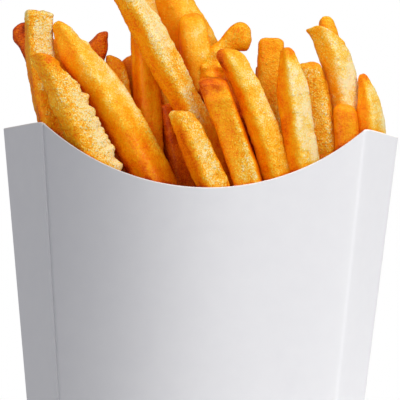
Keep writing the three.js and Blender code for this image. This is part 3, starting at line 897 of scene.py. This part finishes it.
# the rearmost that can be told apart, seen between the others
BACK_FRIES = {
    "dark_point": (
        ((-36, 1, 80), (-33, 1, 106), (-30.2, 1, 131.4), 6.6, 6, 10, 1, 1),
        {
            "tones": (0.72, 0.68, 0.76, 0.72, 0.9), "slant": (3.4, 0.3), "end": (2.0, 2.1),
            "torn": 0.9, "girths": ((0.7, -0.06, 4),),
            "bumps": ((0.91, 0, 0.8, 1.8, 2.5), (0.8, 0, -0.5, 2.5, 2.5)),
            "patches": ((0.9, -15, 0.12, 6, 1.5), (0.95, -100, -0.12, 2, 2), (0.8, -90, -0.08, 2, 2)),
        },
    ),
    "small": (
        ((-17, -1, 84), (-21, -2, 105), (-24.8, -3, 125.5), 5.2, 4.8, 10, 0.8, 0.8),
        {
            "tones": (0.42, 0.38, 0.42, 0.45, 0.8), "slant": (-1.6, 0.0), "end": (1.4, 2.6),
            "patches": ((0.85, -60, -0.15, 3, 1), (0.75, -110, 0.15, 4, 1)),
        },
    ),
    "dark": (
        ((-15, 6, 80), (-18, 5, 104), (-20.2, 4, 126.3), 5.8, 5.6, 0, 1, 1),
        {"tones": (0.54, 0.52, 0.54, 0.54, 0.4), "slant": (1.2, 0.0), "torn": 0.6},
    ),
    "brown_stub": (
        ((-24, 7, 82), (-39.5, 5, 111), (-51.6, 4, 134.5), 6.4, 5.6, 0, 0.8, 0.8),
        {
            "tones": (0.86, 0.82, 0.86, 0.86, 0.9), "end": (2.0, 2.4), "torn": 0.5, "square": 2.6,
            "bumps": ((0.93, 178, 0.6, 2, 1.6),), "patches": ((0.93, -120, -0.12, 3, 1.5),),
        },
    ),
    "nub": (
        ((39.8, -0.5, 100), (38.1, -0.5, 120), (33.6, -0.5, 138.6), 5.0, 4.4, 20, 0.8, 0.85),
        {"tones": (0.44, 0.38, 0.42, 0.4, 0.5), "end": (2.8, 2.2), "square": 2.6},
    ),
    "back_left": (
        ((-28, 14, 78), (-35, 15, 104), (-41.8, 15, 131.5), 6.8, 6.4, 20, 1, 1),
        {"tones": (0.5, 0.5, 0.4, 0.55, 0.5)},
    ),
    "back_tall": (
        ((2, 16, 78), (-3, 16, 106), (-7.4, 15, 132), 7.2, 6.8, 25, 0.9, 0.8),
        {"tones": (0.4, 0.4, 0.3, 0.5, 0.5), "end": (2.4, 2.6)},
    ),
    "back_plain": (
        ((16, 15, 78), (18, 15, 102), (19.5, 14, 125), 6.8, 6.8, 15, 1, 1),
        {"tones": (0.4, 0.4, 0.35, 0.5, 0.5)},
    ),
    "back_right": (
        ((30, 15, 78), (34.5, 15, 103), (38, 14, 126), 7, 6.6, 30, 0.8, 0.8),
        {"tones": (0.4, 0.4, 0.45, 0.5, 0.5), "end": (2.4, 2.6)},
    ),
}
# each group with the rows and columns of a fry, fewer where less of it shows
for name, group, rings, sides in (
    ("fries_front", FRONT_FRIES, 232, 70), ("fries_second", SECOND_FRIES, 260, 72),
    ("fries_rear", REAR_FRIES, 200, 60), ("fries_back", BACK_FRIES, 150, 48),
):
    bars = [
        fry(shape, look, rings, sides, number * 7 + len(group))
        for number, (shape, look) in enumerate(group.values())
    ]
    add_piece(name, bars, fried_crust, "fries")

# The fill behind and between them stands in rows from side to side, its feet closer together than
# its tips, and each fry a little off its place.
# the two nearer rows' deep tone is painted shade, for the gaps between the fries in front
HIDDEN_ROWS = (
    {"y": 4, "reach": 39, "count": 9, "lowest": 96, "uneven": 8, "tone": 0.6},
    {"y": 11, "reach": 40, "count": 9, "lowest": 105, "uneven": 12, "tone": 0.6},
    {"y": 18, "reach": 36, "count": 8, "lowest": 108, "uneven": 12, "tone": 0.42},
)
HIDDEN = {
    "foot": 76, "feet_closer": 0.95, "fan": 1.1, "sway": 5, "size": 6.2, "size_uneven": 1.4,
    "turn_most": 30, "slant_most": (2, 1.5), "torn": 0.7, "end": (1.8, 2.8), "tone_uneven": 0.15,
    "grain": 0.6, "rings": 84, "sides": 34,
}


def chance(number, feature):
    """A repeatable number from 0 to 1 for one feature of a fry, by their numbers: the part after
    the point of a large multiple of a sine."""
    spread = abs(math.sin(number * 12.9898 + feature * 78.233)) * 437.585
    return spread - math.floor(spread)


bars = []
for row in HIDDEN_ROWS:
    for step in range(row["count"]):
        number = len(bars) + 1
        x = row["reach"] * (2 * step / (row["count"] - 1) - 1)
        tip = (
            x * HIDDEN["fan"] + HIDDEN["sway"] * (chance(number, 2) - 0.5),
            row["y"] + HIDDEN["sway"] * (chance(number, 3) - 0.5) / 2,
            row["lowest"] + row["uneven"] * chance(number, 1),
        )
        foot = (x * (2 - HIDDEN["fan"]) * HIDDEN["feet_closer"], row["y"], HIDDEN["foot"])
        middle = tuple((low + high) / 2 for low, high in zip(foot, tip))
        width, depth = (HIDDEN["size"] + HIDDEN["size_uneven"] * chance(number, k) for k in (4, 5))
        twist = HIDDEN["turn_most"] * (2 * chance(number, 6) - 1)
        tones = [row["tone"] + HIDDEN["tone_uneven"] * chance(number, k) for k in (7, 8, 9, 10)]
        slant_most = zip((11, 12), HIDDEN["slant_most"])
        look = {
            "tones": (*tones, HIDDEN["grain"]),
            "slant": [2 * most * chance(number, k) - most for k, most in slant_most],
            "end": HIDDEN["end"], "torn": HIDDEN["torn"],
        }
        shape = (foot, middle, tip, width, depth, twist, 1, 1)
        bars.append(fry(shape, look, HIDDEN["rings"], HIDDEN["sides"], number + 50))
add_piece("fries_fill", bars, fried_crust, "fries")

# ---- Studio --------------------------------------------------------------------------------------
# A white floor and surround. One soft box near the front rakes the carton, two weak ones stand at
# its sides, one hangs above, and two light the fries alone, which need more than white board does.
# The camera stands 600 mm away and level, two degrees round to the left and tilted a little.

bpy.ops.mesh.primitive_circle_add(vertices=96, radius=0.3, fill_type="NGON")
floor = bpy.context.object
floor.name = "floor"
# White emulsion paint, rolled on: matt, so it gives the eye no mirror image of the carton.
floor_paint = bpy.data.materials.new("white_floor_paint")
floor_paint.use_nodes = True
floor_shader = floor_paint.node_tree.nodes["Principled BSDF"]
floor_shader.inputs["Base Color"].default_value = linear("#DEDEDE")
floor_shader.inputs["Roughness"].default_value = 0.8
floor.data.materials.append(floor_paint)

# White to the camera, weaker as a light, and weaker still in reflections, so the crust looks dry.
surround = bpy.data.worlds.new("white_surround")
bpy.context.scene.world = surround
surround.use_nodes = True
tree = surround.node_tree
tree.nodes.clear()
seen = add_node(tree, "ShaderNodeLightPath").outputs["Is Camera Ray"]
mirrored = add_node(tree, "ShaderNodeLightPath").outputs["Is Glossy Ray"]
strength = add_node(
    tree, "ShaderNodeMapRange", None, {"To Min": 0.46, "To Max": 0.12}, {"Value": mirrored}
).outputs["Result"]
shining = add_node(
    tree, "ShaderNodeBackground", None, {"Color": (0.94, 0.945, 1, 1)}, {"Strength": strength}
)
white = add_node(tree, "ShaderNodeBackground", None, {"Color": (1, 1, 1, 1), "Strength": 1.0})
chosen = add_node(
    tree, "ShaderNodeMixShader", None, None,
    {0: seen, 1: shining.outputs["Background"], 2: white.outputs["Background"]},
)
add_node(tree, "ShaderNodeOutputWorld", None, None, {"Surface": chosen.outputs["Shader"]})


def add_softbox(name, azimuth, elevation, aim, distance, size, spread, roll, power, lit=None):
    """A rectangular soft light, at a distance from its aim in the direction that its azimuth, from
    the front round to the right, and its elevation give, turned about its own axis by the roll. A
    grid keeps its light within the spread, and screens keep it to the pieces in `lit`."""
    lamp = bpy.data.lights.new(name, "AREA")
    lamp.shape = "RECTANGLE"
    lamp.size, lamp.size_y = size
    lamp.spread = math.radians(spread)
    lamp.energy = power
    lamp.color = (1.0, 0.99, 0.97)
    round_to, up = math.radians(azimuth), math.radians(elevation)
    away = Vector((
        math.sin(round_to) * math.cos(up), -math.cos(round_to) * math.cos(up), math.sin(up)
    ))
    holder = bpy.data.objects.new(name, lamp)
    bpy.context.scene.collection.objects.link(holder)
    holder.location = Vector(aim) + distance * away
    holder.visible_camera = False
    facing = away.to_track_quat("Z", "Y").to_matrix() @ Matrix.Rotation(math.radians(roll), 3, "Z")
    holder.rotation_euler = facing.to_euler()
    if lit:
        holder.light_linking.receiver_collection = lit


fries_alone = bpy.data.collections.new("fries_alone")
carton_alone = bpy.data.collections.new("carton_alone")
for piece in bpy.context.scene.objects:
    if piece.type == "MESH":
        (fries_alone if piece.active_material == fried_crust else carton_alone).objects.link(piece)
# Each has its azimuth, elevation, aim, distance, size, spread, roll and power.
add_softbox("carton_key", 34, 14, (0.057, 0.042, 0.155), 0.2, (0.2, 0.34), 17, 3, 0.149, carton_alone)
add_softbox("carton_side", 75, 5, (0.055, 0.0, 0.06), 0.5, (0.2, 0.3), 50, 0, 0.034, carton_alone)
add_softbox("carton_left", -95, 5, (-0.055, 0.0, 0.06), 0.5, (0.2, 0.3), 50, 0, 0.026, carton_alone)
add_softbox("top", 60, 72, (0.0, 0.0, 0.13), 0.6, (0.25, 0.25), 40, 0, 0.084)
add_softbox("fries_right", 50, 30, (0.0, 0.0, 0.115), 0.6, (0.35, 0.35), 60, 0, 0.225, fries_alone)
add_softbox("fries_left", -30, 15, (0.0, 0.0, 0.115), 0.6, (0.6, 0.6), 80, 0, 0.53, fries_alone)

CAMERA_DISTANCE = 0.6
CAMERA_HEIGHT = 0.0862
CAMERA_TURN = math.radians(2)
CAMERA_ROLL = math.radians(1.2)
CAMERA_LENS = 192.86
camera_data = bpy.data.cameras.new("camera")
camera_data.sensor_width = 36.0
camera_data.lens = CAMERA_LENS
camera = bpy.data.objects.new("camera", camera_data)
bpy.context.scene.collection.objects.link(camera)
level_view = Euler((math.pi / 2, 0, -CAMERA_TURN)).to_matrix()
camera.rotation_euler = (level_view @ Matrix.Rotation(CAMERA_ROLL, 3, "Z")).to_euler()
camera.location = (
    -CAMERA_DISTANCE * math.sin(CAMERA_TURN), -CAMERA_DISTANCE * math.cos(CAMERA_TURN), CAMERA_HEIGHT
)
bpy.context.scene.camera = camera
bpy.context.scene.view_settings.view_transform = "Standard"
